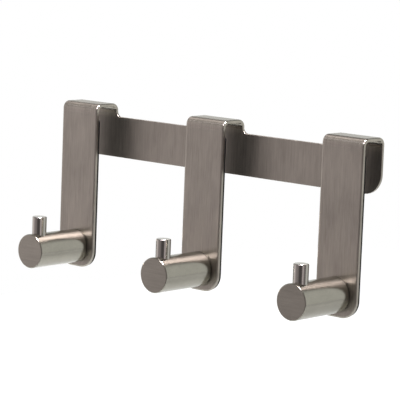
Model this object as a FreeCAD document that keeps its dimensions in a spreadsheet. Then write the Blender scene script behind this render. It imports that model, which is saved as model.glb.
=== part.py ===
import FreeCAD, Part
import math
import os

import Sketcher
from FreeCAD import Vector

# Towel hook for a glass shower screen.
# A folded steel sheet hangs over the top edge of the glass: a rail lies behind the glass,
# and three tabs of that rail fold over the edge and down into three straps in front of it.
# Each strap carries a turned peg with an upright stop pin, and a thin rubber pad that
# rests on the glass and covers the screw that holds the peg.
# +X runs along the rail, the pegs point towards -Y, and +Z is up.
# The origin is on the underside of the middle tab, halfway across the slot for the glass.

HOOKS = {"left": -1, "middle": 0, "right": 1}
TOLERANCE = 0.001
SHARP = math.sin(math.radians(30))
FULL_TURN = 360

doc = FreeCAD.newDocument("towel_hook")

# Driving sizes, in millimetres.

SIZES = [
    ("sheet_thickness", 1.5),
    ("strap_width", 21),
    ("strap_pitch", 74),
    ("strap_height", 73.5),
    ("strap_corner_radius", 7.5),
    ("slot_width", 11),
    ("bend_radius", 1.8),
    ("rail_height", 18),
    ("rail_drop", 5.9),
    ("rail_corner_radius", 8.5),
    ("neck_fillet", 2.5),
    ("edge_bevel", 0.25),
    ("peg_diameter", 15),
    ("peg_length", 28.5),
    ("peg_rise", 9.3),
    ("peg_front_chamfer", 0.5),
    ("peg_rear_chamfer", 0.4),
    ("pin_diameter", 6.3),
    ("pin_height", 7.5),
    ("pin_seat_depth", 4.5),
    ("pin_setback", 5.5),
    ("pin_chamfer", 0.3),
    ("pin_clearance", 0.02),
    ("pad_thickness", 1.2),
    ("pad_drop", 7),
    ("pad_inset", 0.3),
    ("pad_top_radius", 1),
    ("screw_diameter", 4),
    ("screw_length", 16),
    ("screw_tip_chamfer", 0.5),
    ("screw_clearance", 0.05),
    ("head_diameter", 7.5),
    ("head_sink", 0.1),
    ("socket_width", 2.5),
    ("socket_depth", 1.3),
    ("bore_spare_depth", 2),
    ("bore_lead_in", 0.3),
]

sheet = doc.addObject("Spreadsheet::Sheet", "sizes")
for row, (alias, size) in enumerate(SIZES, 1):
    sheet.set("A%d" % row, alias)
    sheet.set("B%d" % row, str(size))
    sheet.setAlias("B%d" % row, alias)
doc.recompute()

# Places that several pieces share, as expressions of the driving sizes.

SLOT_SIDE = "sizes.slot_width / 2"
OUTER_FACE = "(sizes.slot_width / 2 + sizes.sheet_thickness)"
STRAP_HALF = "sizes.strap_width / 2"
STRAP_FOOT = "(sizes.sheet_thickness - sizes.strap_height)"
RAIL_END = "(sizes.strap_pitch + sizes.strap_width / 2)"
RAIL_TOP = "(sizes.sheet_thickness - sizes.rail_drop)"
RAIL_FOOT = "(sizes.sheet_thickness - sizes.rail_drop - sizes.rail_height)"
RAIL_MIDDLE = "(sizes.sheet_thickness - sizes.rail_drop - sizes.rail_height / 2)"
PEG_AXIS = "(sizes.sheet_thickness - sizes.strap_height + sizes.peg_rise)"
PEG_RADIUS = "sizes.peg_diameter / 2"
PIN_TO_STRAP = "(sizes.peg_length - sizes.pin_setback)"
HEAD_RADIUS = "sizes.head_diameter / 2"
SHANK_RADIUS = "sizes.screw_diameter / 2"
BORE_RADIUS = "(sizes.screw_diameter / 2 + sizes.screw_clearance)"
SCREW_REACH = "(sizes.screw_length + sizes.head_sink - sizes.sheet_thickness)"


def value(expression):
    """Works out an expression of the driving sizes as a plain number."""
    return float(sheet.evalExpression(expression))


def origin_feature(body, role):
    """Finds one of a body's own origin planes or axes."""
    return next(feature for feature in body.Origin.OriginFeatures if feature.Role == role)


def new_body(name):
    """Starts a piece under its own name."""
    body = doc.addObject("PartDesign::Body", name)
    body.Label = name
    return body


def place(body, **expressions):
    """Ties a body's position to the driving sizes."""
    for axis, expression in expressions.items():
        body.setExpression("Placement.Base." + axis, expression)


def new_sketch(body, name, role, **offsets):
    """Adds a sketch on an origin plane, moved in the sketch's own directions."""
    sketch = body.newObject("Sketcher::SketchObject", name)
    sketch.AttachmentSupport = (origin_feature(body, role), [""])
    sketch.MapMode = "FlatFace"
    for axis, expression in offsets.items():
        sketch.setExpression("AttachmentOffset.Base." + axis, expression)
    return sketch


def dimension(sketch, kind, geometry, point, expression):
    """Ties one coordinate of a sketch point to an expression, measured from the origin."""
    constraint = Sketcher.Constraint(kind, -1, 1, geometry, point, value(expression))
    index = sketch.addConstraint(constraint)
    sketch.setExpression("Constraints[%d]" % index, expression)


def draw_outline(sketch, corners):
    """Draws a closed outline through corners that are given as pairs of expressions."""
    places = [Vector(value(across), value(up), 0) for across, up in corners]
    count = len(corners)
    for index in range(count):
        sketch.addGeometry(Part.LineSegment(places[index], places[(index + 1) % count]))
    for index in range(count):
        sketch.addConstraint(Sketcher.Constraint("Coincident", index, 2, (index + 1) % count, 1))
    for index, (across, up) in enumerate(corners):
        before = corners[index - 1] if index else (None, None)
        if across == before[0]:
            sketch.addConstraint(Sketcher.Constraint("Vertical", index - 1))
        else:
            dimension(sketch, "DistanceX", index, 1, across)
        if up == before[1]:
            sketch.addConstraint(Sketcher.Constraint("Horizontal", index - 1))
        else:
            dimension(sketch, "DistanceY", index, 1, up)


def draw_circle(sketch, radius, across="0", up="0"):
    """Draws a circle whose centre and radius are expressions."""
    centre = Vector(value(across), value(up), 0)
    circle = sketch.addGeometry(Part.Circle(centre, Vector(0, 0, 1), value(radius)))
    dimension(sketch, "DistanceX", circle, 3, across)
    dimension(sketch, "DistanceY", circle, 3, up)
    index = sketch.addConstraint(Sketcher.Constraint("Radius", circle, value(radius)))
    sketch.setExpression("Constraints[%d]" % index, radius)
    return circle


def draw_hexagon(sketch, width):
    """Draws a hexagon of a given width across flats, with a corner straight above its centre."""
    sides = 6
    reach = "%s / 2 / cos(30 deg)" % width
    guide = draw_circle(sketch, reach)
    sketch.toggleConstruction(guide)
    turns = [math.radians(FULL_TURN / 4 + FULL_TURN * side / sides) for side in range(sides)]
    corners = [Vector(math.cos(turn), math.sin(turn), 0) * value(reach) for turn in turns]
    first = guide + 1
    for side in range(sides):
        sketch.addGeometry(Part.LineSegment(corners[side], corners[(side + 1) % sides]))
    for side in range(sides):
        line = first + side
        after = first + (side + 1) % sides
        sketch.addConstraint(Sketcher.Constraint("Coincident", line, 2, after, 1))
        sketch.addConstraint(Sketcher.Constraint("PointOnObject", line, 1, guide))
        if side:
            sketch.addConstraint(Sketcher.Constraint("Equal", first, line))
    sketch.addConstraint(Sketcher.Constraint("PointOnObject", first, 1, -2))


def pad(body, name, sketch, length, both_ways=False, reverse=False):
    """Pads a sketch forwards, backwards or to both sides of its plane."""
    feature = body.newObject("PartDesign::Pad", name)
    feature.Profile = sketch
    feature.Reversed = reverse
    feature.setExpression("Length", length)
    if both_ways:
        feature.SideType = "Symmetric"
    doc.recompute()
    return feature


def pocket(body, name, sketch, depth, reverse=False):
    """Cuts a sketch into the body and checks that something was cut away."""
    before = body.Tip.Shape.Volume
    feature = body.newObject("PartDesign::Pocket", name)
    feature.Profile = sketch
    feature.setExpression("Length", depth)
    feature.Reversed = reverse
    doc.recompute()
    if feature.Shape.Volume > before - TOLERANCE:
        raise RuntimeError("%s cuts nothing" % name)
    return feature


def revolve(body, name, sketch, kind="PartDesign::Revolution"):
    """Turns a profile a full turn about the sketch's horizontal axis."""
    feature = body.newObject(kind, name)
    feature.Profile = sketch
    feature.ReferenceAxis = (sketch, ["H_Axis"])
    feature.Angle = FULL_TURN
    doc.recompute()
    return feature


def repeat_along_rail(body, name, feature):
    """Repeats a feature of the left hook at the middle and right hooks."""
    pattern = body.newObject("PartDesign::LinearPattern", name)
    pattern.Originals = [feature]
    pattern.Direction = (origin_feature(body, "X_Axis"), [""])
    pattern.Occurrences = len(HOOKS)
    pattern.setExpression("Length", "2 * sizes.strap_pitch")
    body.Tip = pattern
    doc.recompute()
    return pattern


def straight_edges(feature, direction, **wanted):
    """Names the straight edges along a direction whose middles lie at the wanted places."""
    names = []
    for number, edge in enumerate(feature.Shape.Edges, 1):
        if not isinstance(edge.Curve, Part.Line):
            continue
        if edge.Curve.Direction.cross(direction).Length > TOLERANCE:
            continue
        middle = edge.CenterOfMass
        misses = [
            min(abs(getattr(middle, axis) - spot) for spot in spots)
            for axis, spots in wanted.items()
        ]
        if max(misses) < TOLERANCE:
            names.append("Edge%d" % number)
    return names


def sharp_edges(feature):
    """Names the edges where two faces of a feature meet at a sharp angle."""
    names = []
    for number, edge in enumerate(feature.Shape.Edges, 1):
        middle = edge.valueAt((edge.FirstParameter + edge.LastParameter) / 2)
        normals = []
        for face in feature.Shape.ancestorsOfType(edge, Part.Face):
            u, v = face.Surface.parameter(middle)
            normals.append(face.normalAt(u, v))
        if len(normals) == 2 and normals[0].cross(normals[1]).Length > SHARP:
            names.append("Edge%d" % number)
    return names


def round_edges(body, name, names, radius):
    """Rounds named edges of the body's last feature."""
    base = body.Tip
    feature = body.newObject("PartDesign::Fillet", name)
    feature.Base = (base, names)
    feature.setExpression("Radius", radius)
    doc.recompute()
    return feature


def bevel_edges(body, name, names, size):
    """Bevels named edges of the body's last feature."""
    base = body.Tip
    feature = body.newObject("PartDesign::Chamfer", name)
    feature.Base = (base, names)
    feature.setExpression("Size", size)
    doc.recompute()
    return feature


def build_bracket():
    """Folds the sheet: the rail, the three tabs over the glass and the straps down in front."""
    body = new_body("bracket")

    rail = new_sketch(body, "rail_outline", "XZ_Plane", z="-" + OUTER_FACE)
    draw_outline(rail, [
        ("-" + RAIL_END, RAIL_FOOT),
        (RAIL_END, RAIL_FOOT),
        (RAIL_END, RAIL_TOP),
        ("-" + RAIL_END, RAIL_TOP),
    ])
    pad(body, "rail", rail, "sizes.sheet_thickness")

    fold = new_sketch(body, "fold_profile", "YZ_Plane", z="-sizes.strap_pitch")
    draw_outline(fold, [
        ("-" + OUTER_FACE, STRAP_FOOT),
        ("-" + SLOT_SIDE, STRAP_FOOT),
        ("-" + SLOT_SIDE, "0"),
        (SLOT_SIDE, "0"),
        (SLOT_SIDE, RAIL_MIDDLE),
        (OUTER_FACE, RAIL_MIDDLE),
        (OUTER_FACE, "sizes.sheet_thickness"),
        ("-" + OUTER_FACE, "sizes.sheet_thickness"),
    ])
    tab = pad(body, "tab", fold, "sizes.strap_width", both_ways=True)
    folded = repeat_along_rail(body, "tabs", tab)

    across = Vector(1, 0, 0)
    through = Vector(0, 1, 0)
    upright = Vector(0, 0, 1)
    slot_side = value(SLOT_SIDE)
    outer_face = value(OUTER_FACE)
    half = value(STRAP_HALF)
    pitch = value("sizes.strap_pitch")
    strap_sides = [side * pitch + edge * half for side in HOOKS.values() for edge in (-1, 1)]
    rail_ends = [min(strap_sides), max(strap_sides)]
    necks = [spot for spot in strap_sides if spot not in rail_ends]

    names = straight_edges(folded, across, y=[-slot_side, slot_side], z=[0])
    inner = round_edges(body, "inner_bends", names, "sizes.bend_radius")
    names = straight_edges(inner, across, y=[-outer_face, outer_face], z=[value("sizes.sheet_thickness")])
    outer = round_edges(body, "outer_bends", names, "sizes.bend_radius + sizes.sheet_thickness")
    names = straight_edges(outer, through, x=strap_sides, z=[value(STRAP_FOOT)])
    feet = round_edges(body, "strap_corners", names, "sizes.strap_corner_radius")
    names = straight_edges(feet, through, x=rail_ends, z=[value(RAIL_FOOT)])
    ends = round_edges(body, "rail_corners", names, "sizes.rail_corner_radius")
    names = straight_edges(ends, through, x=necks, z=[value(RAIL_TOP)])
    blended = round_edges(body, "neck_fillets", names, "sizes.neck_fillet")
    bevel_edges(body, "soft_edges", sharp_edges(blended), "sizes.edge_bevel")

    seat = new_sketch(body, "screw_seat", "YZ_Plane", x="-" + SLOT_SIDE, y=PEG_AXIS, z="-sizes.strap_pitch")
    seat_radius = "(%s + sizes.head_sink)" % HEAD_RADIUS
    cone_end = "-(%s - %s)" % (seat_radius, BORE_RADIUS)
    hole_end = "-(%s + sizes.sheet_thickness)" % seat_radius
    draw_outline(seat, [
        ("0", "0"),
        ("0", seat_radius),
        (cone_end, BORE_RADIUS),
        (hole_end, BORE_RADIUS),
        (hole_end, "0"),
    ])
    sunk = revolve(body, "screw_hole", seat, kind="PartDesign::Groove")
    repeat_along_rail(body, "screw_holes", sunk)
    return body


def build_peg(name, side):
    """Turns one peg, bores its screw hole and drills the seat of its stop pin."""
    body = new_body(name)
    profile = new_sketch(body, name + "_profile", "YZ_Plane")
    mouth_radius = (
        "max(%s - sizes.sheet_thickness + sizes.head_sink + sizes.screw_clearance;"
        " %s + sizes.bore_lead_in)" % (HEAD_RADIUS, BORE_RADIUS)
    )
    bore_depth = "(%s + sizes.bore_spare_depth)" % SCREW_REACH
    draw_outline(profile, [
        ("0", mouth_radius),
        ("0", "%s - sizes.peg_rear_chamfer" % PEG_RADIUS),
        ("-sizes.peg_rear_chamfer", PEG_RADIUS),
        ("-(sizes.peg_length - sizes.peg_front_chamfer)", PEG_RADIUS),
        ("-sizes.peg_length", "%s - sizes.peg_front_chamfer" % PEG_RADIUS),
        ("-sizes.peg_length", "0"),
        ("-(%s + %s * tan(30 deg))" % (bore_depth, BORE_RADIUS), "0"),
        ("-" + bore_depth, BORE_RADIUS),
        ("-(%s - %s)" % (mouth_radius, BORE_RADIUS), BORE_RADIUS),
    ])
    revolve(body, name + "_turned", profile)

    drill = new_sketch(body, name + "_pin_seat", "XY_Plane", z=PEG_RADIUS)
    draw_circle(drill, "sizes.pin_diameter / 2 + sizes.pin_clearance", up="-" + PIN_TO_STRAP)
    pocket(body, name + "_pin_hole", drill, "sizes.pin_seat_depth")
    place(body, x="%d * sizes.strap_pitch" % side, y="-" + OUTER_FACE, z=PEG_AXIS)
    return body


def build_pin(name, side):
    """Turns one stop pin, with a bevel at both ends, and stands it in the peg."""
    body = new_body(name)
    foot = new_sketch(body, name + "_foot", "XY_Plane")
    draw_circle(foot, "sizes.pin_diameter / 2")
    turned = pad(body, name + "_turned", foot, "sizes.pin_seat_depth + sizes.pin_height")
    rims = ["Edge%d" % number for number, edge in enumerate(turned.Shape.Edges, 1)
            if isinstance(edge.Curve, Part.Circle)]
    bevel_edges(body, name + "_bevels", rims, "sizes.pin_chamfer")
    place(
        body,
        x="%d * sizes.strap_pitch" % side,
        y="-(%s + %s)" % (OUTER_FACE, PIN_TO_STRAP),
        z="%s + %s - sizes.pin_seat_depth" % (PEG_AXIS, PEG_RADIUS),
    )
    return body


def build_pad(name, side):
    """Cuts one rubber pad to the outline of its strap, a little inside it."""
    body = new_body(name)
    outline = new_sketch(body, name + "_outline", "XZ_Plane", z=SLOT_SIDE)
    edge = "(%s - sizes.pad_inset)" % STRAP_HALF
    foot = "(%s + sizes.pad_inset)" % STRAP_FOOT
    top = "(sizes.sheet_thickness - sizes.pad_drop)"
    draw_outline(outline, [("-" + edge, foot), (edge, foot), (edge, top), ("-" + edge, top)])
    blank = pad(body, name + "_blank", outline, "sizes.pad_thickness", reverse=True)

    through = Vector(0, 1, 0)
    sides = [-value(edge), value(edge)]
    names = straight_edges(blank, through, x=sides, z=[value(foot)])
    lower = round_edges(body, name + "_feet", names, "sizes.strap_corner_radius - sizes.pad_inset")
    names = straight_edges(lower, through, x=sides, z=[value(top)])
    round_edges(body, name + "_shoulders", names, "sizes.pad_top_radius")
    place(body, x="%d * sizes.strap_pitch" % side)
    return body


def build_screw(name, side):
    """Turns one countersunk screw with a hexagon socket and sets it in the strap and the peg."""
    body = new_body(name)
    profile = new_sketch(body, name + "_profile", "YZ_Plane")
    draw_outline(profile, [
        ("0", "0"),
        ("0", HEAD_RADIUS),
        ("-(%s - %s)" % (HEAD_RADIUS, SHANK_RADIUS), SHANK_RADIUS),
        ("-(sizes.screw_length - sizes.screw_tip_chamfer)", SHANK_RADIUS),
        ("-sizes.screw_length", "%s - sizes.screw_tip_chamfer" % SHANK_RADIUS),
        ("-sizes.screw_length", "0"),
    ])
    revolve(body, name + "_turned", profile)
    socket = new_sketch(body, name + "_socket", "XZ_Plane")
    draw_hexagon(socket, "sizes.socket_width")
    pocket(body, name + "_socket_cut", socket, "sizes.socket_depth", reverse=True)
    place(
        body,
        x="%d * sizes.strap_pitch" % side,
        y="-(%s + sizes.head_sink)" % SLOT_SIDE,
        z=PEG_AXIS,
    )
    return body


def check_document(pieces):
    """Stops with a message if any object failed or any piece is not one valid solid."""
    for item in doc.Objects:
        if "Invalid" in item.State or "Error" in item.State:
            raise RuntimeError("%s failed: %s" % (item.Name, item.State))
    for piece in pieces:
        shape = piece.Shape
        if shape.isNull() or not shape.isValid() or len(shape.Solids) != 1:
            raise RuntimeError("%s is not one valid solid" % piece.Label)


def export(pieces):
    """Writes each piece to a file under its own name."""
    os.makedirs("parts", exist_ok=True)
    for piece in pieces:
        piece.Shape.exportStep("parts/%s.step" % piece.Label)


bodies = [build_bracket()]
for hook, side in HOOKS.items():
    bodies.append(build_pad("screen_pad_" + hook, side))
    bodies.append(build_peg("peg_" + hook, side))
    bodies.append(build_pin("stop_pin_" + hook, side))
    bodies.append(build_screw("peg_screw_" + hook, side))

doc.recompute()
check_document(bodies)
export(bodies)
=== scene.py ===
"""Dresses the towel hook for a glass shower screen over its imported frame.

Lengths are in metres, and the flat map of the sheet is in millimetres.
"""

import logging
import math
from collections.abc import Callable, Sequence
from dataclasses import dataclass
from enum import Enum

import bpy
from mathutils import Matrix, Vector

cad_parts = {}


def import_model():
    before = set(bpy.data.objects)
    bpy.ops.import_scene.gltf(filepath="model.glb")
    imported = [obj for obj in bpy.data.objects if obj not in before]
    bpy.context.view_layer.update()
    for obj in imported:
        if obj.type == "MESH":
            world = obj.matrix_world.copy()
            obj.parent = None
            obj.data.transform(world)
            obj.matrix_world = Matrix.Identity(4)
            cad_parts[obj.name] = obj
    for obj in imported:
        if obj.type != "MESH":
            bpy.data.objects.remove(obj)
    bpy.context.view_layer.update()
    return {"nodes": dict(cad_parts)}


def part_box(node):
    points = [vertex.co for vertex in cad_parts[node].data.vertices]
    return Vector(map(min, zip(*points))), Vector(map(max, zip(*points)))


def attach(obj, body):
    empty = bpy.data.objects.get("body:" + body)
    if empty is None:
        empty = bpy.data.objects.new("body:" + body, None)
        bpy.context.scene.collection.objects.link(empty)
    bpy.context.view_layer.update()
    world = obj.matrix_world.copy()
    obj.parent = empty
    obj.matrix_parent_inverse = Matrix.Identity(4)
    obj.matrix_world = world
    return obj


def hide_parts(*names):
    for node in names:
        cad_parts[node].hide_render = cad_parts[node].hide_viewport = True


LOG = logging.getLogger("towel_hook")

MM = 0.001
SAME_WITHIN = MM * MM
QUARTER = math.pi / 2
FULL = 2 * math.pi
ROOT = "root"
SHEET_MAP = "sheet"
WHITE = (1, 1, 1, 1)
MIX_FIRST_COLOUR = 6
MIX_SECOND_COLOUR = 7
MIX_RESULT_COLOUR = 2

Triple = tuple[float, float, float]
Rgba = tuple[float, float, float, float]
Spot = tuple[Vector, Vector, Vector, Vector]
Place = Callable[[float, float, float], Spot]


class Hook(Enum):
    """The three hooks along the rail, with the side of the middle that each is on."""

    LEFT = -1
    MIDDLE = 0
    RIGHT = 1

    @property
    def word(self) -> str:
        """The ending of this hook's node names."""
        return self.name.lower()


class Lay(Enum):
    """The way the fine scratches of a finish run."""

    UPRIGHT = "upright"
    AROUND_PEG = "around a peg"
    AROUND_PIN = "around a pin"

    @property
    def axis(self) -> str:
        """The axis that the scratches of a turned piece run round."""
        return "Y" if self is Lay.AROUND_PEG else "Z"

    @property
    def rotation(self) -> float:
        """The turn from the tangent to the scratches, as a share of a full turn."""
        return 0.0 if self is Lay.UPRIGHT else 0.25


def mix(low: float, high: float, share: float) -> float:
    """The value that lies a given share of the way from low to high."""
    return low + (high - low) * share


def same(first: float, second: float) -> bool:
    """Whether two lengths agree to within a thousandth of a millimetre."""
    return abs(first - second) < SAME_WITHIN


def node_box(name: str) -> tuple[Vector, Vector]:
    """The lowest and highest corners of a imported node."""
    low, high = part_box(name)
    return Vector(low), Vector(high)


class Graph:
    """A short way to place and join shader nodes."""

    def __init__(self, tree: bpy.types.NodeTree) -> None:
        """Works on one node tree."""
        self.tree = tree

    def node(self, kind: str, **settings: object) -> bpy.types.Node:
        """Adds a node.

        Args:
            kind: The node's type.
            settings: The values of its own properties.

        Returns:
            The new node.
        """
        made = self.tree.nodes.new(kind)
        for name, value in settings.items():
            setattr(made, name, value)
        return made

    def link(self, source: bpy.types.NodeSocket, target: bpy.types.NodeSocket) -> None:
        """Joins two sockets."""
        self.tree.links.new(source, target)

    def feed(self, target: bpy.types.NodeSocket, value: object) -> None:
        """Gives a socket a link or a plain value.

        Args:
            target: The socket that takes it.
            value: Another node's output, or a plain value.
        """
        if isinstance(value, bpy.types.NodeSocket):
            self.link(value, target)
        else:
            target.default_value = value

    def math(self, operation: str, *values: object) -> bpy.types.NodeSocket:
        """Adds a math node.

        Args:
            operation: The name of the operation.
            values: What goes into it.

        Returns:
            Its result.
        """
        made = self.node("ShaderNodeMath", operation=operation)
        for index, value in enumerate(values):
            self.feed(made.inputs[index], value)
        return made.outputs[0]

    def times(self, vector: object, factor: object) -> bpy.types.NodeSocket:
        """Multiplies a place or a colour by one number.

        Args:
            vector: The place or colour.
            factor: The number.

        Returns:
            The product.
        """
        made = self.node("ShaderNodeVectorMath", operation="SCALE")
        self.feed(made.inputs[0], vector)
        self.feed(made.inputs["Scale"], factor)
        return made.outputs["Vector"]

    def parts(self, vector: object) -> bpy.types.bpy_prop_collection:
        """Takes a vector apart.

        Args:
            vector: The vector.

        Returns:
            Its X, Y and Z.
        """
        made = self.node("ShaderNodeSeparateXYZ")
        self.feed(made.inputs[0], vector)
        return made.outputs

    def blend(self, share: object, first: object, second: object) -> bpy.types.NodeSocket:
        """Mixes two colours.

        Args:
            share: The share of the second colour.
            first: The first colour.
            second: The second colour.

        Returns:
            The mixed colour.
        """
        made = self.node("ShaderNodeMix", data_type="RGBA")
        self.feed(made.inputs["Factor"], share)
        self.feed(made.inputs[MIX_FIRST_COLOUR], first)
        self.feed(made.inputs[MIX_SECOND_COLOUR], second)
        return made.outputs[MIX_RESULT_COLOUR]

    def span(
        self, value: object, low: float, high: float, to_low: float, to_high: float, smooth: bool = False
    ) -> bpy.types.NodeSocket:
        """Maps a value from one range to another and holds it there beyond the ends.

        Args:
            value: The value.
            low: The start of its range.
            high: The end of its range.
            to_low: What the start becomes.
            to_high: What the end becomes.
            smooth: Whether it eases in and out.

        Returns:
            The mapped value.
        """
        made = self.node("ShaderNodeMapRange", interpolation_type="SMOOTHSTEP" if smooth else "LINEAR")
        sockets = ("Value", "From Min", "From Max", "To Min", "To Max")
        for name, item in zip(sockets, (value, low, high, to_low, to_high)):
            self.feed(made.inputs[name], item)
        return made.outputs["Result"]

    def noise(
        self, place: object, scale: float = 1.0, detail: float = 2, roughness: float = 0.5
    ) -> bpy.types.NodeSocket:
        """Adds a noise texture.

        Args:
            place: Where it is read.
            scale: How fine it is.
            detail: How many finer layers it has.
            roughness: How strong the finer layers are.

        Returns:
            Its value, from 0 to 1.
        """
        made = self.node("ShaderNodeTexNoise")
        self.feed(made.inputs["Vector"], place)
        made.inputs["Scale"].default_value = scale
        made.inputs["Detail"].default_value = detail
        made.inputs["Roughness"].default_value = roughness
        return made.outputs["Fac"]

    def scaled(self, place: object, scale: Triple) -> bpy.types.NodeSocket:
        """Scales a place along its three directions.

        Args:
            place: The place.
            scale: The factor for each direction.

        Returns:
            The scaled place.
        """
        made = self.node("ShaderNodeMapping")
        self.feed(made.inputs["Vector"], place)
        made.inputs["Scale"].default_value = scale
        return made.outputs["Vector"]

    def bump(self, height: object, strength: object, distance: float) -> bpy.types.NodeSocket:
        """Raises a surface by a height map.

        Args:
            height: The height map.
            strength: How strongly it shows.
            distance: The height of its full relief.

        Returns:
            The new normal.
        """
        made = self.node("ShaderNodeBump")
        self.feed(made.inputs["Height"], height)
        self.feed(made.inputs["Strength"], strength)
        made.inputs["Distance"].default_value = distance
        return made.outputs["Normal"]


@dataclass(frozen=True)
class Fade:
    """A change from one level to another between two values of a measure."""

    start: float
    end: float
    low: float = 0.0
    high: float = 1.0
    smooth: bool = True

    def of(self, graph: Graph, value: object) -> bpy.types.NodeSocket:
        """The level at a value of the measure."""
        return graph.span(value, self.start, self.end, self.low, self.high, smooth=self.smooth)


def new_material(name: str) -> tuple[bpy.types.Material, Graph, bpy.types.Node]:
    """Starts a material.

    Args:
        name: The material's name.

    Returns:
        The material, a graph to fill it with, and its output node.
    """
    material = bpy.data.materials.new(name)
    material.use_nodes = True
    material.node_tree.nodes.clear()
    graph = Graph(material.node_tree)
    return material, graph, graph.node("ShaderNodeOutputMaterial")


def new_surface(name: str) -> tuple[bpy.types.Material, Graph, bpy.types.Node]:
    """Starts the material of a piece.

    Args:
        name: The material's name.

    Returns:
        The material, a graph to fill it with, and its one shader.
    """
    material, graph, out = new_material(name)
    shader = graph.node("ShaderNodeBsdfPrincipled")
    graph.link(shader.outputs[0], out.inputs["Surface"])
    return material, graph, shader


def new_group(
    name: str, inputs: dict[str, tuple[str, object]], outputs: dict[str, str]
) -> tuple[Graph, bpy.types.Node, bpy.types.Node]:
    """Starts a shader node group with named sockets.

    Args:
        name: The group's name.
        inputs: The kind and default of each input.
        outputs: The kind of each output.

    Returns:
        A graph to fill the group with, and its input and output nodes.
    """
    tree = bpy.data.node_groups.new(name, "ShaderNodeTree")
    for label, (kind, default) in inputs.items():
        socket = tree.interface.new_socket(label, in_out="INPUT", socket_type=kind)
        if default is not None:
            socket.default_value = default
    for label, kind in outputs.items():
        tree.interface.new_socket(label, in_out="OUTPUT", socket_type=kind)
    graph = Graph(tree)
    return graph, graph.node("NodeGroupInput"), graph.node("NodeGroupOutput")


@dataclass(frozen=True)
class BrushedGrain:
    """The fine lines of brushed or turned steel, long in the second direction of their place."""

    name: str = "brushed_grain"
    fine_scale: Triple = (4.0, 0.16, 4.0)
    fine_detail: float = 3
    fine_roughness: float = 0.65
    fine_share: float = 0.55
    broad_scale: Triple = (1.5, 0.05, 1.5)
    broad_share: float = 0.45
    cloud_scale: Triple = (0.14, 0.06, 0.14)
    cloud_share: float = 0.4
    middle: float = 0.5
    contrast: float = 0.1

    def build(self) -> bpy.types.NodeTree:
        """Builds the node group.

        Returns:
            The group. Its Shade is a factor about 1 for the colour, and its Lines run from 0 to 1.
        """
        inputs = {
            "Place": ("NodeSocketVector", None),
            "Contrast": ("NodeSocketFloat", self.contrast),
        }
        outputs = {"Shade": "NodeSocketFloat", "Lines": "NodeSocketFloat"}
        graph, taken, given = new_group(self.name, inputs, outputs)
        place = taken.outputs["Place"]
        fine_place = graph.scaled(place, self.fine_scale)
        fine = graph.noise(fine_place, detail=self.fine_detail, roughness=self.fine_roughness)
        broad = graph.noise(graph.scaled(place, self.broad_scale))
        cloud = graph.noise(graph.scaled(place, self.cloud_scale))
        fine_part = graph.math("MULTIPLY", fine, self.fine_share)
        broad_part = graph.math("MULTIPLY", broad, self.broad_share)
        lines = graph.math("ADD", fine_part, broad_part)
        patches = graph.math("MULTIPLY", graph.math("SUBTRACT", cloud, self.middle), self.cloud_share)
        uneven = graph.math("ADD", graph.math("SUBTRACT", lines, self.middle), patches)
        centred = graph.math("MULTIPLY", uneven, taken.outputs["Contrast"])
        graph.link(graph.math("ADD", centred, 1.0), given.inputs["Shade"])
        graph.link(lines, given.inputs["Lines"])
        return graph.tree


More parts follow.
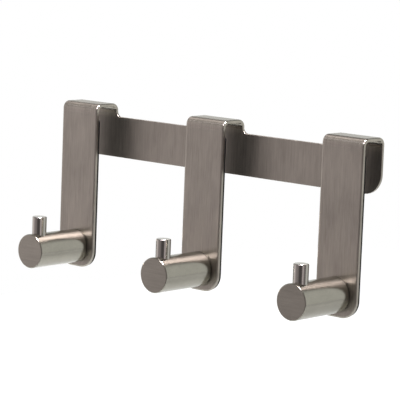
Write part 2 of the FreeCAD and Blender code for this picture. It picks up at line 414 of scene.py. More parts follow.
@dataclass(frozen=True)
class SteelFinish:
    """A steel finish with fine lines that run one way."""

    name: str
    colour: Triple
    lay: Lay
    roughness: float
    roughness_play: float
    contrast: float
    relief: float
    anisotropy: float
    relief_depth: float = 0.02 * MM
    faint_line: float = 0.25
    strong_line: float = 0.75

    def direction(self, graph: Graph) -> bpy.types.NodeSocket:
        """The direction that the lines spread a reflection in, before any turn.

        Args:
            graph: The material's graph.

        Returns:
            The tangent.
        """
        made = graph.node("ShaderNodeTangent")
        if self.lay is Lay.UPRIGHT:
            made.direction_type = "UV_MAP"
            made.uv_map = SHEET_MAP
        else:
            made.direction_type = "RADIAL"
            made.axis = self.lay.axis
        return made.outputs["Tangent"]

    def place(self, graph: Graph) -> bpy.types.NodeSocket:
        """The place on the piece in millimetres, with the second direction along the lines.

        Args:
            graph: The material's graph.

        Returns:
            The place.
        """
        if self.lay is Lay.UPRIGHT:
            return graph.node("ShaderNodeUVMap", uv_map=SHEET_MAP).outputs["UV"]
        coords = graph.node("ShaderNodeTexCoord").outputs["Object"]
        parts = graph.parts(graph.times(coords, 1 / MM))
        joined = graph.node("ShaderNodeCombineXYZ")
        graph.link(parts["Y"], joined.inputs["X"])
        graph.link(parts["X"], joined.inputs["Y"])
        graph.link(parts["Z"], joined.inputs["Z"])
        return joined.outputs[0]

    def shade(self, graph: Graph, plain: bpy.types.NodeSocket) -> bpy.types.NodeSocket:
        """How light the steel is from place to place, given the fine lines alone."""
        return plain

    def texture(
        self, graph: Graph, lines: bpy.types.NodeSocket
    ) -> tuple[bpy.types.NodeSocket, object]:
        """How rough the steel is from place to place, and how strongly its lines stand out.

        Args:
            graph: The material's graph.
            lines: The fine lines.

        Returns:
            The roughness and the strength of the relief.
        """
        play = self.roughness * self.roughness_play
        low = self.roughness - play
        high = self.roughness + play
        return graph.span(lines, self.faint_line, self.strong_line, low, high), self.relief

    def make(self, grain: bpy.types.NodeTree) -> bpy.types.Material:
        """Makes the material.

        Args:
            grain: The group that gives the fine lines.

        Returns:
            The finished material.
        """
        material, graph, shader = new_surface(self.name)
        brushed = graph.node("ShaderNodeGroup", node_tree=grain)
        graph.link(self.place(graph), brushed.inputs["Place"])
        brushed.inputs["Contrast"].default_value = self.contrast
        shade = self.shade(graph, brushed.outputs["Shade"])
        lines = brushed.outputs["Lines"]
        roughness, strength = self.texture(graph, lines)
        graph.link(graph.times(self.colour, shade), shader.inputs["Base Color"])
        graph.link(roughness, shader.inputs["Roughness"])
        graph.link(graph.bump(lines, strength, self.relief_depth), shader.inputs["Normal"])
        graph.link(self.direction(graph), shader.inputs["Tangent"])
        shader.inputs["Metallic"].default_value = 1.0
        shader.inputs["Anisotropic"].default_value = self.anisotropy
        shader.inputs["Anisotropic Rotation"].default_value = self.lay.rotation
        return material


@dataclass(frozen=True)
class FoldedSheetFinish(SteelFinish):
    """A brushed finish that the press has smoothed where the sheet is folded."""

    pressed_roughness: float = 0.27
    folds_begin: Fade = Fade(-1.5, -0.5)
    folds_end: Fade = Fade(16.0, 17.0, 1.0, 0.0)

    def pressed(self, graph: Graph) -> bpy.types.NodeSocket:
        """How far the lines are pressed out: fully along the folds, not on the flat rail and straps.

        Args:
            graph: The material's graph.

        Returns:
            The share, from 0 to 1.
        """
        along = graph.parts(graph.node("ShaderNodeUVMap", uv_map=SHEET_MAP).outputs["UV"])["Y"]
        return graph.math("MULTIPLY", self.folds_begin.of(graph, along), self.folds_end.of(graph, along))

    def texture(
        self, graph: Graph, lines: bpy.types.NodeSocket
    ) -> tuple[bpy.types.NodeSocket, object]:
        """How rough the sheet is from place to place, and how strongly its lines stand out.

        Args:
            graph: The material's graph.
            lines: The fine lines.

        Returns:
            The roughness and the strength of the relief.
        """
        pressed = self.pressed(graph)
        flat = graph.math("SUBTRACT", 1.0, pressed)
        play = self.roughness_play
        uneven = graph.span(lines, self.faint_line, self.strong_line, -play, play)
        factor = graph.math("ADD", 1.0, graph.math("MULTIPLY", uneven, flat))
        base = graph.span(pressed, 0, 1, self.roughness, self.pressed_roughness)
        return graph.math("MULTIPLY", factor, base), graph.math("MULTIPLY", flat, self.relief)


@dataclass(frozen=True)
class PegFinish(SteelFinish):
    """A turned finish with a painted shade line where the peg meets its strap, standing in for the shadow
    in the gap there.
    """

    # Painted shade: the colour drops to 0.4 in a thin ring at the peg's root, for the shadow in the gap at
    # the strap.
    painted_root_shade: Fade = Fade(-8.0, -7.9, 1.0, 0.4, smooth=False)

    def shade(self, graph: Graph, plain: bpy.types.NodeSocket) -> bpy.types.NodeSocket:
        """How light the steel is, with the painted shade line at the root of the peg.

        Args:
            graph: The material's graph.
            plain: The shade of the fine lines alone.

        Returns:
            The shade with the painted shade line.
        """
        coords = graph.node("ShaderNodeTexCoord").outputs["Object"]
        depth = graph.math("MULTIPLY", graph.parts(coords)["Y"], 1 / MM)
        return graph.math("MULTIPLY", plain, self.painted_root_shade.of(graph, depth))


@dataclass(frozen=True)
class RubberFinish:
    """Matt black rubber with a fine moulded texture."""

    name: str = "pad_black_rubber"
    colour: Triple = (0.010, 0.0095, 0.009)
    roughness: float = 0.7
    roughness_play: float = 0.08
    gloss: float = 0.12
    grain_scale: float = 9000
    grain_roughness: float = 0.6
    patch_scale: float = 160
    patch_detail: float = 3
    patches: Fade = Fade(0.3, 0.7, 0.8, 1.25, smooth=False)
    faint_grain: float = 0.3
    strong_grain: float = 0.7
    relief: float = 0.3
    relief_depth: float = 0.03 * MM

    def make(self) -> bpy.types.Material:
        """Makes the material.

        Returns:
            The finished material.
        """
        material, graph, shader = new_surface(self.name)
        place = graph.node("ShaderNodeTexCoord").outputs["Object"]
        grain = graph.noise(place, self.grain_scale, roughness=self.grain_roughness)
        patches = graph.noise(place, self.patch_scale, self.patch_detail)
        low = self.roughness - self.roughness_play
        high = self.roughness + self.roughness_play
        roughness = graph.span(grain, self.faint_grain, self.strong_grain, low, high)
        shade = self.patches.of(graph, patches)
        graph.link(graph.times(self.colour, shade), shader.inputs["Base Color"])
        graph.link(roughness, shader.inputs["Roughness"])
        graph.link(graph.bump(grain, self.relief, self.relief_depth), shader.inputs["Normal"])
        shader.inputs["Specular IOR Level"].default_value = self.gloss
        return material


@dataclass(frozen=True)
class Wardrobe:
    """Every finish of the towel hook."""

    bracket: bpy.types.Material
    peg: bpy.types.Material
    pin: bpy.types.Material
    screw: bpy.types.Material
    rubber: bpy.types.Material

    @classmethod
    def make(cls) -> "Wardrobe":
        """Makes all the finishes.

        Returns:
            The finishes.
        """
        grain = BrushedGrain().build()
        bracket = FoldedSheetFinish(
            name="brushed_sheet_steel",
            colour=(0.385, 0.359, 0.312),
            lay=Lay.UPRIGHT,
            roughness=0.34,
            roughness_play=0.18,
            contrast=1.0,
            relief=0.2,
            anisotropy=0.7,
        )
        peg = PegFinish(
            name="satin_turned_steel",
            colour=(0.335, 0.32, 0.275),
            lay=Lay.AROUND_PEG,
            roughness=0.18,
            roughness_play=0.1,
            contrast=0.5,
            relief=0.2,
            anisotropy=0.3,
        )
        pin = SteelFinish(
            name="polished_pin_steel",
            colour=(0.43, 0.41, 0.375),
            lay=Lay.AROUND_PIN,
            roughness=0.15,
            roughness_play=0.1,
            contrast=0.05,
            relief=0.05,
            anisotropy=0.0,
        )
        screw = SteelFinish(
            name="plain_screw_steel",
            colour=(0.38, 0.38, 0.37),
            lay=Lay.AROUND_PEG,
            roughness=0.35,
            roughness_play=0.15,
            contrast=0.1,
            relief=0.1,
            anisotropy=0.0,
        )
        return cls(
            bracket=bracket.make(grain),
            peg=peg.make(grain),
            pin=pin.make(grain),
            screw=screw.make(grain),
            rubber=RubberFinish().make(),
        )


def wear(piece: bpy.types.Object, material: bpy.types.Material) -> None:
    """Gives a piece one finish all over.

    Args:
        piece: The piece.
        material: Its finish.
    """
    if piece.data.materials:
        for index in range(len(piece.data.materials)):
            piece.data.materials[index] = material
    else:
        piece.data.materials.append(material)


@dataclass(frozen=True)
class OutlinePoint:
    """One point of a flat outline, with the direction that faces out of it."""

    across: float
    along: float
    out_across: float
    out_along: float

    def inset(self, depth: float) -> tuple[float, float]:
        """The place that lies a depth inside the outline."""
        return self.across - self.out_across * depth, self.along - self.out_along * depth


@dataclass(frozen=True)
class EdgeStep:
    """One step of the way round a cut edge: its inset, its height and how far it has turned."""

    inset: float
    height: float
    tilt: float


def arc_points(
    centre: tuple[float, float], radius: float, start: float, end: float, steps: int, hollow: bool = False
) -> list[OutlinePoint]:
    """Points on an arc of an outline.

    Args:
        centre: The arc's centre, across and along the sheet.
        radius: The arc's radius.
        start: The angle of its first point, in radians.
        end: The angle of its last point.
        steps: How many steps divide it.
        hollow: Whether the sheet lies outside the arc, as in an inner corner.

    Returns:
        The points from start to end.
    """
    sign = -1 if hollow else 1
    points = []
    for step in range(steps + 1):
        angle = mix(start, end, step / steps)
        across = centre[0] + radius * math.cos(angle)
        along = centre[1] + radius * math.sin(angle)
        points.append(OutlinePoint(across, along, sign * math.cos(angle), sign * math.sin(angle)))
    return points


def rolled_edge(
    thickness: float, outer: tuple[float, float], inner: tuple[float, float], steps: int
) -> list[EdgeStep]:
    """The way round a cut edge, from the outer face to the inner one.

    Args:
        thickness: The thickness of the sheet.
        outer: The width and the depth of the rounding on the outer face.
        inner: The width and the depth of the rounding on the inner face.
        steps: How many steps each rounding has.

    Returns:
        The steps, with heights measured from the inner face.
    """
    way = []
    for (width, depth), flip in ((outer, False), (inner, True)):
        side = []
        for step in range(steps + 1):
            turn = QUARTER * step / steps
            inset = width * (1 - math.sin(turn))
            drop = depth * (1 - math.cos(turn))
            tilt = math.atan2(depth * math.sin(turn), width * math.cos(turn))
            height = drop if flip else thickness - drop
            side.append(EdgeStep(inset, height, math.pi - tilt if flip else tilt))
        way.extend(reversed(side) if flip else side)
    return way


class MeshDraft:
    """Collects the points, faces, exact normals and sheet places of one mesh."""

    def __init__(self) -> None:
        """Starts with nothing in the mesh."""
        self.points: list[Vector] = []
        self.normals: list[Vector] = []
        self.sheet: list[tuple[float, float]] = []
        self.faces: list[list[int]] = []

    def add(self, point: Vector, normal: Vector, sheet: tuple[float, float]) -> int:
        """Adds a point.

        Args:
            point: The point.
            normal: The direction that the surface faces there.
            sheet: Its place on the flat map of the sheet.

        Returns:
            The point's number.
        """
        self.points.append(point)
        self.normals.append(normal.normalized())
        self.sheet.append(sheet)
        return len(self.points) - 1

    def join(self, rings: Sequence[Sequence[int]]) -> None:
        """Joins each ring of points to the next with a closed band of faces.

        Args:
            rings: The rings, all with as many points.
        """
        for first, second in zip(rings, rings[1:]):
            count = len(first)
            for index in range(count):
                after = (index + 1) % count
                self.faces.append([first[index], first[after], second[after], second[index]])

    def turn_outwards(self, face: list[int]) -> list[int]:
        """Puts a face's points in the order that makes it look the way its normals do.

        Args:
            face: The numbers of its points.

        Returns:
            The same numbers, in that order.
        """
        spots = [self.points[index] for index in face]
        facing = Vector((0, 0, 0))
        for first, second in zip(spots, spots[1:] + spots[:1]):
            facing += first.cross(second)
        wanted = sum((self.normals[index] for index in face), Vector((0, 0, 0)))
        return list(reversed(face)) if facing.dot(wanted) < 0 else face

    def build(self, name: str) -> bpy.types.Object:
        """Makes the mesh object, with its exact normals and a map of the flat sheet.

        Args:
            name: The name of the piece.

        Returns:
            The new object, linked to the scene.
        """
        mesh = bpy.data.meshes.new(name)
        faces = [self.turn_outwards(face) for face in self.faces]
        mesh.from_pydata([tuple(point) for point in self.points], [], faces)
        layer = mesh.uv_layers.new(name=SHEET_MAP)
        for loop in mesh.loops:
            layer.data[loop.index].uv = self.sheet[loop.vertex_index]
        for polygon in mesh.polygons:
            polygon.use_smooth = True
        mesh.normals_split_custom_set_from_vertices([tuple(normal) for normal in self.normals])
        piece = bpy.data.objects.new(name, mesh)
        bpy.context.scene.collection.objects.link(piece)
        return piece


def sweep_outline(
    draft: MeshDraft, outline: Sequence[OutlinePoint], edge: Sequence[EdgeStep], place: Place
) -> list[list[int]]:
    """Runs an edge profile round an outline.

    Args:
        draft: The mesh that takes the points and faces.
        outline: The closed outline.
        edge: The way round the cut edge.
        place: The function that puts a flat point in its place.

    Returns:
        The rings of point numbers, from the outer face to the inner one.
    """
    rings = []
    for step in edge:
        ring = []
        for spot in outline:
            across, along = spot.inset(step.inset)
            point, side, ahead, out = place(across, along, step.height)
            outward = side * spot.out_across + ahead * spot.out_along
            normal = out * math.cos(step.tilt) + outward * math.sin(step.tilt)
            ring.append(draft.add(point, normal, (across / MM, along / MM)))
        rings.append(ring)
    draft.join(rings)
    return rings


@dataclass(frozen=True)
class Fold:
    """The path of the sheet from the rail, over the glass and down the straps."""

    slot_half: float = 5.5 * MM
    thickness: float = 1.5 * MM
    bend: float = 1.8 * MM

    @property
    def bend_run(self) -> float:
        """The length of sheet that one bend takes up, along its middle layer."""
        return QUARTER * (self.bend + self.thickness / 2)

    @property
    def top_run(self) -> float:
        """The length of the flat top plate between the bends."""
        return 2 * (self.slot_half - self.bend)

    @property
    def strap_start(self) -> float:
        """The place along the sheet where the second bend ends."""
        return 2 * self.bend_run + self.top_run

    def along_rail(self, height: float) -> float:
        """The place along the sheet of a height on the rail."""
        return height + self.bend

    def along_strap(self, height: float) -> float:
        """The place along the sheet of a height on a strap."""
        return self.strap_start - self.bend - height

    def place(self, across: float, along: float, height: float) -> Spot:
        """Folds one point of the flat sheet into its place.

        Args:
            across: The place across the sheet.
            along: The place along the sheet, from where the rail's bend starts.
            height: The height above the sheet's inner face.

        Returns:
            The point, and the directions across the sheet, along it and out of its outer face.
        """
        side = Vector((1, 0, 0))
        centre = self.slot_half - self.bend
        if along <= 0:
            point = Vector((across, self.slot_half + height, along - self.bend))
            return point, side, Vector((0, 0, 1)), Vector((0, 1, 0))
        if along >= self.strap_start:
            drop = self.bend + along - self.strap_start
            point = Vector((across, -self.slot_half - height, -drop))
            return point, side, Vector((0, 0, -1)), Vector((0, -1, 0))
        if self.bend_run <= along <= self.bend_run + self.top_run:
            point = Vector((across, centre - (along - self.bend_run), height))
            return point, side, Vector((0, -1, 0)), Vector((0, 0, 1))
        if along < self.bend_run:
            turn = QUARTER * along / self.bend_run
            middle = centre
        else:
            turn = QUARTER + QUARTER * (along - self.bend_run - self.top_run) / self.bend_run
            middle = -centre
        out = Vector((0, math.cos(turn), math.sin(turn)))
        point = Vector((across, middle, -self.bend)) + out * (self.bend + height)
        return point, side, Vector((0, -math.sin(turn), math.cos(turn))), out


@dataclass(frozen=True)
class FoldedBracket:
    """The folded steel sheet, with softly rolled cut edges."""

    fold: Fold = Fold()
    strap_width: float = 21 * MM
    pitch: float = 74 * MM
    foot: float = -72 * MM
    strap_corner: float = 7.5 * MM
    rail_top: float = -4.4 * MM
    rail_foot: float = -22.4 * MM
    rail_corner: float = 8.5 * MM
    neck: float = 2.5 * MM
    roll_width: float = 0.9 * MM
    roll_depth: float = 0.42 * MM
    inner_round: float = 0.22 * MM
    bend_steps: int = 14
    corner_steps: int = 18
    neck_steps: int = 10
    edge_steps: int = 7

    @property
    def half(self) -> float:
        """Half the width of a strap."""
        return self.strap_width / 2

    @property
    def middles(self) -> list[float]:
        """The places across the sheet of the straps' middle lines, the left one first."""
        return [hook.value * self.pitch for hook in Hook]

    def stations(self) -> list[float]:
        """Where the straight sides of a strap carry points.

        Returns:
            The places along the sheet, rail end first.
        """
        fold = self.fold
        first = [fold.bend_run * step / self.bend_steps for step in range(self.bend_steps + 1)]
        second = [fold.bend_run + fold.top_run + spot for spot in first]
        end = fold.along_strap(self.foot) - self.strap_corner
        return first + second + [end]

    def strap_outline(self, middle: float) -> list[OutlinePoint]:
        """The outline of one strap, up its right side, round its foot and back along its left.

        Args:
            middle: The place across the sheet of its middle line.

        Returns:
            The points in order.
        """
        right = middle + self.half
        left = middle - self.half
        corner = self.strap_corner
        *sides, end = self.stations()
        points = [OutlinePoint(right, spot, 1, 0) for spot in sides]
        points += arc_points((right - corner, end), corner, 0, QUARTER, self.corner_steps)
        points += arc_points((left + corner, end), corner, QUARTER, math.pi, self.corner_steps)
        points += [OutlinePoint(left, spot, -1, 0) for spot in reversed(sides)]
        return points

    def notch_outline(self, right: float, left: float) -> list[OutlinePoint]:
        """The outline of the rail's top edge between two straps, with a fillet at each neck.

        Args:
            right: The side of the strap to the right of the notch.
            left: The side of the strap to its left.

        Returns:
            The points in order, from right to left.
        """
        neck = self.neck
        level = self.fold.along_rail(self.rail_top) + neck
        first = arc_points((right - neck, level), neck, 0, -QUARTER, self.neck_steps, hollow=True)
        second = arc_points((left + neck, level), neck, -QUARTER, -math.pi, self.neck_steps, hollow=True)
        return first[1:] + second[:-1]

    def outline(self) -> list[OutlinePoint]:
        """The closed outline of the whole flat sheet.

        Returns:
            The points in order, from the right end of the rail to the left.
        """
        end = self.pitch + self.half
        corner = self.rail_corner
        low = self.fold.along_rail(self.rail_foot) + corner
        middles = self.middles[::-1]
        points = arc_points((end - corner, low), corner, -QUARTER, 0, self.corner_steps)
        for middle, after in zip(middles, middles[1:]):
            points += self.strap_outline(middle)
            points += self.notch_outline(middle - self.half, after + self.half)
        points += self.strap_outline(middles[-1])
        points += arc_points((-end + corner, low), corner, math.pi, math.pi + QUARTER, self.corner_steps)
        return points

    def side_column(
        self, outline: Sequence[OutlinePoint], ring: Sequence[int], side: float
    ) -> list[int]:
        """The points of a ring along one straight side of a strap.

        Args:
            outline: The outline that the ring follows.
            ring: The ring of point numbers.
            side: The place of that side across the sheet.

        Returns:
            The point numbers, rail end first.
        """
        straight = [
            (spot.along, number) for spot, number in zip(outline, ring)
            if same(spot.across, side) and same(spot.out_along, 0)
        ]
        return [
            next(number for along, number in straight if same(along, row)) for row in self.stations()
        ]

    def close_face(
        self, draft: MeshDraft, outline: Sequence[OutlinePoint], ring: Sequence[int]
    ) -> None:
        """Fills one face of the sheet: the rail, and the bends and the foot of each strap.

        Args:
            draft: The mesh that takes the faces.
            outline: The outline that the ring follows.
            ring: The ring of points that bounds the flat face.
        """
        foot = self.stations()[-1] - SAME_WITHIN
        reach = self.half + SAME_WITHIN
        draft.faces.append([number for spot, number in zip(outline, ring) if spot.along <= SAME_WITHIN])
        for middle in self.middles:
            right = self.side_column(outline, ring, middle + self.half)
            left = self.side_column(outline, ring, middle - self.half)
            for row in range(len(right) - 1):
                draft.faces.append([left[row], right[row], right[row + 1], left[row + 1]])
            draft.faces.append([
                number for spot, number in zip(outline, ring)
                if spot.along >= foot and abs(spot.across - middle) <= reach
            ])

    def build(self) -> bpy.types.Object:
        """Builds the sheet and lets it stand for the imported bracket.

        Returns:
            The folded sheet.
        """
        outline = self.outline()
        outer = (self.roll_width, self.roll_depth)
        inner = (self.inner_round, self.inner_round)
        edge = rolled_edge(self.fold.thickness, outer, inner, self.edge_steps)
        draft = MeshDraft()
        rings = sweep_outline(draft, outline, edge, self.fold.place)
        self.close_face(draft, outline, rings[0])
        self.close_face(draft, outline, rings[-1])
        piece = draft.build("folded_bracket")
        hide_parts("bracket")
        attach(piece, ROOT)
        return piece

    def dress(self, piece: bpy.types.Object, finishes: Wardrobe) -> None:
        """Gives the sheet its brushed finish."""
        wear(piece, finishes.bracket)


@dataclass(frozen=True)
class ScreenPad:
    """A thin rubber pad on the back of a strap, cut to the strap's own outline."""

    hook: Hook
    round_over: float = 0.08 * MM
    foot_corner: float = 7.2 * MM
    top_corner: float = 1.0 * MM
    corner_steps: int = 16
    edge_steps: int = 5

    def build(self) -> bpy.types.Object:
        """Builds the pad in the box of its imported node.

        Returns:
            The pad.
        """
        low, high = node_box("screen_pad_" + self.hook.word)

        def place(across: float, along: float, height: float) -> Spot:
            """Puts one point of the flat pad in its place.

            Args:
                across: The place along the rail.
                along: The height in the frame.
                height: The distance from the strap.

            Returns:
                The point, and the directions across the pad, up it and away from the strap.
            """
            point = Vector((across, low.y + height, along))
            return point, Vector((1, 0, 0)), Vector((0, 0, 1)), Vector((0, 1, 0))

        foot = self.foot_corner
        top = self.top_corner
        outline = arc_points((high.x - foot, low.z + foot), foot, -QUARTER, 0, self.corner_steps)
        outline += arc_points((high.x - top, high.z - top), top, 0, QUARTER, self.edge_steps)
        outline += arc_points((low.x + top, high.z - top), top, QUARTER, math.pi, self.edge_steps)
        last = (low.x + foot, low.z + foot)
        outline += arc_points(last, foot, math.pi, math.pi + QUARTER, self.corner_steps)
        rounding = (self.round_over, self.round_over)
        edge = rolled_edge(high.y - low.y, rounding, rounding, self.edge_steps)
        draft = MeshDraft()
        rings = sweep_outline(draft, outline, edge, place)
        draft.faces.extend([rings[0], rings[-1]])
        piece = draft.build("rubber_pad_" + self.hook.word)
        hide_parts("screen_pad_" + self.hook.word)
        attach(piece, ROOT)
        return piece

    def dress(self, piece: bpy.types.Object, finishes: Wardrobe) -> None:
        """Gives the pad its rubber."""
        wear(piece, finishes.rubber)


@dataclass(frozen=True)
class ProfileStep:
    """One step of a turned profile: its radius, its place along the axis and its slope."""

    radius: float
    along: float
    slope: float


def eased_corner(
    radius: float, along: float, size: float, start: float, end: float, steps: int, back: float = 1
) -> list[ProfileStep]:
    """The steps of a small rounding between two slopes of a turned profile.

    Args:
        radius: The profile's radius at the sharp corner.
        along: Its place along the axis there.
        size: The radius of the rounding.
        start: The slope where it starts.
        end: The slope where it ends.
        steps: How many steps divide it.
        back: The side of the corner that the rounding's centre lies on, along the axis.

    Returns:
        The steps in order.
    """
    centre_radius = radius - size
    centre_along = along - back * size
    way = []
    for step in range(steps + 1):
        slope = mix(start, end, step / steps)
        step_radius = centre_radius + size * math.cos(slope)
        way.append(ProfileStep(step_radius, centre_along + size * math.sin(slope), slope))
    return way


@dataclass(frozen=True)
class RoundBar:
    """A solid round bar with a rounded rim at each end."""

    radius: float
    length: float
    rim: float
    rim_steps: int
    around: int

    def turn(self, name: str, axis: Vector, start: Vector) -> bpy.types.Object:
        """Turns the bar about an axis.

        Args:
            name: The name of the piece.
            axis: The direction of the axis, of length 1.
            start: The middle of the bar's first end.

        Returns:
            The turned object.
        """
        steps = eased_corner(self.radius, 0, self.rim, -QUARTER, 0, self.rim_steps, back=-1)
        steps += eased_corner(self.radius, self.length, self.rim, 0, QUARTER, self.rim_steps)
        side = axis.orthogonal().normalized()
        other = axis.cross(side)
        draft = MeshDraft()
        rings = []
        for step in steps:
            ring = []
            for index in range(self.around):
                angle = FULL * index / self.around
                out = side * math.cos(angle) + other * math.sin(angle)
                point = start + axis * step.along + out * step.radius
                normal = out * math.cos(step.slope) + axis * math.sin(step.slope)
                ring.append(draft.add(point, normal, (step.radius * angle / MM, step.along / MM)))
            rings.append(ring)
        draft.join(rings)
        draft.faces.extend([rings[0], rings[-1]])
        return draft.build(name)


@dataclass(frozen=True)
class TurnedPeg:
    """A solid round peg that stands out from its strap."""

    hook: Hook
    rim: float = 0.45 * MM
    rim_steps: int = 6
    around: int = 160

    def build(self) -> bpy.types.Object:
        """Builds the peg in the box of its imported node, from the strap outwards.

        Returns:
            The peg.
        """
        low, high = node_box("peg_" + self.hook.word)
        bar = RoundBar((high.x - low.x) / 2, high.y - low.y, self.rim, self.rim_steps, self.around)
        start = Vector(((low.x + high.x) / 2, high.y, (low.z + high.z) / 2))
        piece = bar.turn("turned_peg_" + self.hook.word, Vector((0, -1, 0)), start)
        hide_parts("peg_" + self.hook.word)
        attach(piece, ROOT)
        return piece

    def dress(self, piece: bpy.types.Object, finishes: Wardrobe) -> None:
        """Gives the peg its satin finish."""
        wear(piece, finishes.peg)


@dataclass(frozen=True)
class StopPin:
    """The upright pin near the end of a peg."""

    hook: Hook
    rim: float = 0.35 * MM
    rim_steps: int = 6
    around: int = 96

    def build(self) -> bpy.types.Object:
        """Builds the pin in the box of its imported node, from its foot upwards.

        Returns:
            The pin.
        """
        low, high = node_box("stop_pin_" + self.hook.word)
        bar = RoundBar((high.x - low.x) / 2, high.z - low.z, self.rim, self.rim_steps, self.around)
        start = Vector(((low.x + high.x) / 2, (low.y + high.y) / 2, low.z))
        piece = bar.turn("polished_pin_" + self.hook.word, Vector((0, 0, 1)), start)
        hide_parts("stop_pin_" + self.hook.word)
        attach(piece, ROOT)
        return piece

    def dress(self, piece: bpy.types.Object, finishes: Wardrobe) -> None:
        """Gives the pin its polish."""
        wear(piece, finishes.pin)


@dataclass(frozen=True)
class PegScrew:
    """The countersunk screw behind a peg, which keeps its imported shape."""

    hook: Hook
    nodes: dict[str, bpy.types.Object]

    def build(self) -> bpy.types.Object:
        """The screw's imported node."""
        return self.nodes["peg_screw_" + self.hook.word]

    def dress(self, piece: bpy.types.Object, finishes: Wardrobe) -> None:
        """Gives the screw its plain steel."""
        wear(piece, finishes.screw)


@dataclass(frozen=True)
class Wall:
    """One stretch of the studio's walls: its turn from the front in degrees, its level and its tint."""

    turn: float
    level: float
    rosy: float = 1.0
    plain_blue: float = 0.98
    rosy_red: float = 1.10
    rosy_blue: float = 1.03

    @property
    def spot(self) -> float:
        """The place of this stretch on the way round the room, from 0 to 1."""
        return (self.turn + 180) / 360

    def colour(self) -> Rgba:
        """The light that comes from this stretch of wall.

        Returns:
            The colour.
        """
        red = mix(1.0, self.rosy_red, self.rosy)
        blue = mix(self.plain_blue, self.rosy_blue, self.rosy)
        return (self.level * red, self.level, self.level * blue, 1.0)


def background_rays(graph: Graph) -> tuple[bpy.types.NodeSocket, bpy.types.NodeSocket]:
    """Which rays see the background.

    Args:
        graph: The graph that asks.

    Returns:
        Whether a ray sees it directly or through glass, and whether it sees it in a gloss.
    """
    rays = graph.node("ShaderNodeLightPath").outputs
    return graph.math("MAXIMUM", rays["Is Camera Ray"], rays["Is Transmission Ray"]), rays["Is Glossy Ray"]


@dataclass(frozen=True)
class Room:
    """The world: a room with uneven walls and a dim roof, and a pale cove behind the object.

    The fades are along the X, Y or Z of the direction looked in.
    """

    walls: tuple[Wall, ...] = (
        Wall(-180, 1.0, 0.0),
        Wall(-85, 1.0, 0.0),
        Wall(-60, 1.04),
        Wall(-36, 0.455),
        Wall(-8, 0.37),
        Wall(22, 0.12),
        Wall(47, 0.12),
        Wall(56, 0.28),
        Wall(69, 0.95),
        Wall(84, 0.42),
        Wall(98, 0.22),
        Wall(112, 0.30, 0.0),
        Wall(124, 1.0, 0.0),
        Wall(180, 1.0, 0.0),
    )
    wall_foot: Fade = Fade(-0.25, -0.05, 0.84, 1.0, smooth=False)
    roof: Fade = Fade(0.22, 0.5)
    roof_front: Fade = Fade(0.1, -0.25)
    rear_roof: Rgba = (0.12, 0.115, 0.11, 1)
    front_roof: Rgba = (0.40, 0.38, 0.36, 1)
    behind: Fade = Fade(0.3, 0.6)
    cove_rise: Fade = Fade(-0.2, 0.3, 0.0, 0.2)
    cove_top: Fade = Fade(0.55, 0.30)
    cove_colour: Rgba = (0.88, 0.89, 0.87, 1)

    def wall_colour(
        self, graph: Graph, parts: bpy.types.bpy_prop_collection
    ) -> bpy.types.NodeSocket:
        """The colour of the walls.

        Args:
            graph: The world's graph.
            parts: The X, Y and Z of the direction looked in.

        Returns:
            The colour, darker toward the foot of the walls.
        """
        turn = graph.math("ARCTAN2", parts["X"], graph.math("MULTIPLY", parts["Y"], -1.0))
        ramp = graph.node("ShaderNodeValToRGB")
        ramp.color_ramp.interpolation = "EASE"
        stops = ramp.color_ramp.elements
        while len(stops) > 1:
            stops.remove(stops[-1])
        for index, wall in enumerate(self.walls):
            stop = stops[0] if index == 0 else stops.new(wall.spot)
            stop.position = wall.spot
            stop.color = wall.colour()
        graph.link(graph.span(turn, -math.pi, math.pi, 0, 1), ramp.inputs["Fac"])
        return graph.times(ramp.outputs["Color"], self.wall_foot.of(graph, parts["Z"]))

    def build(self) -> None:
        """Builds the world."""
        world = bpy.data.worlds.new("studio_room")
        bpy.context.scene.world = world
        world.use_nodes = True
        world.node_tree.nodes.clear()
        graph = Graph(world.node_tree)
        parts = graph.parts(graph.node("ShaderNodeTexCoord").outputs["Generated"])
        walls = self.wall_colour(graph, parts)
        roof = graph.blend(self.roof_front.of(graph, parts["Y"]), self.rear_roof, self.front_roof)
        roofed = graph.blend(self.roof.of(graph, parts["Z"]), walls, roof)
        seen, mirrored = background_rays(graph)
        height = graph.math("SUBTRACT", parts["Z"], self.cove_rise.of(graph, parts["X"]))
        low = self.cove_top.of(graph, height)
        behind = self.behind.of(graph, parts["Y"])
        cove = graph.math("MULTIPLY", graph.math("MULTIPLY", behind, low), mirrored)
        pale = graph.blend(seen, self.cove_colour, WHITE)
        back = graph.node("ShaderNodeBackground")
        graph.link(graph.blend(graph.math("MAXIMUM", seen, cove), roofed, pale), back.inputs["Color"])
        graph.link(back.outputs[0], graph.node("ShaderNodeOutputWorld").inputs["Surface"])


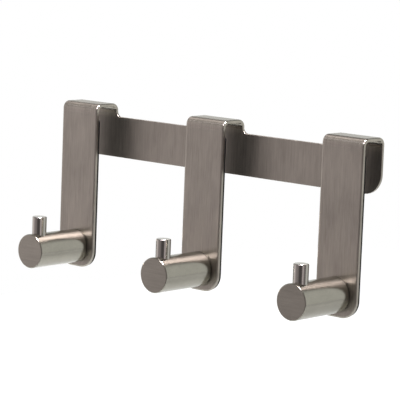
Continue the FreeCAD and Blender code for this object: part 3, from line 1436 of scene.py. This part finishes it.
@dataclass(frozen=True)
class Floor:
    """A plain pale floor that looks white and still takes the object's shadow.

    The glows fade with the distance from the frame's origin.
    """

    drop: float = 0.08
    half: float = 0.35
    shift: float = 0.2
    colour: Rgba = (0.265, 0.29, 0.28, 1)
    seen_glow: Fade = Fade(0.16, 0.26, 0.80, 0.93)
    mirrored_glow: Fade = Fade(0.18, 0.32, 0.13, 0.62)

    def build(self) -> bpy.types.Object:
        """Builds the floor below the object.

        Returns:
            The floor.
        """
        height = node_box("bracket")[0].z - self.drop
        half = self.half
        front = self.shift - half
        rear = self.shift + half
        corners = [(-half, front), (half, front), (half, rear), (-half, rear)]
        mesh = bpy.data.meshes.new("studio_floor")
        mesh.from_pydata([(x, y, height) for x, y in corners], [], [list(range(len(corners)))])
        floor = bpy.data.objects.new("studio_floor", mesh)
        bpy.context.scene.collection.objects.link(floor)
        return floor

    def dress(self, floor: bpy.types.Object) -> None:
        """Gives the floor its pale finish.

        Args:
            floor: The floor.
        """
        material, graph, out = new_material("pale_floor")
        matt = graph.node("ShaderNodeBsdfDiffuse")
        matt.inputs["Color"].default_value = self.colour
        reach = graph.node("ShaderNodeVectorMath", operation="LENGTH")
        graph.link(graph.node("ShaderNodeTexCoord").outputs["Object"], reach.inputs[0])
        distance = reach.outputs["Value"]
        seen, mirrored = background_rays(graph)
        plain = graph.math("MULTIPLY", seen, self.seen_glow.of(graph, distance))
        shiny = graph.math("MULTIPLY", mirrored, self.mirrored_glow.of(graph, distance))
        glow = graph.node("ShaderNodeEmission")
        graph.link(graph.math("MAXIMUM", plain, shiny), glow.inputs["Strength"])
        both = graph.node("ShaderNodeAddShader")
        graph.link(matt.outputs[0], both.inputs[0])
        graph.link(glow.outputs[0], both.inputs[1])
        graph.link(both.outputs[0], out.inputs["Surface"])
        wear(floor, material)


@dataclass(frozen=True)
class SoftBox:
    """A soft lamp that faces the object, with its long side along the rail.

    The power is in watts, and the spread is the angle that the light keeps within, in degrees.
    """

    name: str
    spot: Triple
    length: float
    width: float
    power: float
    spread: float
    colour: Triple
    aim: Triple = (-0.074, -0.01, -0.035)

    def hang(self) -> None:
        """Hangs the lamp."""
        data = bpy.data.lights.new(self.name, "AREA")
        data.shape = "RECTANGLE"
        data.size = self.length
        data.size_y = self.width
        data.energy = self.power
        data.spread = math.radians(self.spread)
        data.color = self.colour
        lamp = bpy.data.objects.new(self.name, data)
        bpy.context.scene.collection.objects.link(lamp)
        lamp.location = self.spot
        down = (Vector(self.aim) - Vector(self.spot)).normalized()
        long_side = Vector((1, 0, 0))
        long_side = (long_side - down * long_side.dot(down)).normalized()
        lamp.rotation_euler = Matrix((long_side, long_side.cross(down), -down)).transposed().to_euler()


@dataclass(frozen=True)
class PhotoCamera:
    """The camera, where the photographer stood. Its angles are in degrees."""

    eye: Triple = (0.61363, -0.70440, 0.09711)
    azimuth: float = 41.385
    elevation: float = 7.987
    roll: float = 2.211
    focal_pixels: float = 2212.8
    frame_pixels: float = 400
    sensor_width: float = 36
    nearest: float = 0.05
    farthest: float = 20

    def place(self) -> bpy.types.Object:
        """Places the camera.

        Returns:
            The camera.
        """
        turn, rise, roll = (math.radians(angle) for angle in (self.azimuth, self.elevation, self.roll))
        back = Vector((math.sin(turn) * math.cos(rise), -math.cos(turn) * math.cos(rise), math.sin(rise)))
        level = Vector((math.cos(turn), math.sin(turn), 0))
        upright = back.cross(level)
        right = level * math.cos(roll) + upright * math.sin(roll)
        above = upright * math.cos(roll) - level * math.sin(roll)
        data = bpy.data.cameras.new("photo_camera")
        data.sensor_fit = "HORIZONTAL"
        data.sensor_width = self.sensor_width
        data.lens = self.focal_pixels / self.frame_pixels * self.sensor_width
        data.clip_start = self.nearest
        data.clip_end = self.farthest
        camera = bpy.data.objects.new("photo_camera", data)
        bpy.context.scene.collection.objects.link(camera)
        rotation = Matrix((right, above, back)).transposed().to_4x4()
        camera.matrix_world = Matrix.Translation(Vector(self.eye)) @ rotation
        bpy.context.scene.camera = camera
        return camera


@dataclass(frozen=True)
class Studio:
    """The room, the floor, the soft lamps and the camera."""

    room: Room = Room()
    floor: Floor = Floor()
    lamps: tuple[SoftBox, ...] = (
        SoftBox("overhead_softbox", (0.08, -0.06, 0.8), 0.48, 0.25, 2.0, 34, (1.0, 0.92, 0.94)),
        SoftBox("front_softbox", (-0.06, -0.70, 0.74), 0.6, 0.3, 0.38, 30, (1.0, 0.92, 1.05)),
    )
    camera: PhotoCamera = PhotoCamera()

    def build(self) -> None:
        """Builds the whole studio."""
        self.room.build()
        self.floor.dress(self.floor.build())
        for lamp in self.lamps:
            lamp.hang()
        self.camera.place()
        bpy.context.scene.view_settings.view_transform = "Standard"


def main() -> None:
    """Loads the frame, builds and dresses each piece, and sets the studio."""
    logging.basicConfig(level=logging.INFO, format="%(message)s")
    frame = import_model()
    finishes = Wardrobe.make()
    makers: list[FoldedBracket | ScreenPad | TurnedPeg | StopPin | PegScrew] = [FoldedBracket()]
    for hook in Hook:
        makers += [ScreenPad(hook), TurnedPeg(hook), StopPin(hook), PegScrew(hook, frame["nodes"])]
    for maker in makers:
        piece = maker.build()
        maker.dress(piece, finishes)
        LOG.info("%s: %d faces", piece.name, len(piece.data.polygons))
    Studio().build()
    LOG.info("studio: room, floor, lamps and camera")


if __name__ == "__main__":
    main()
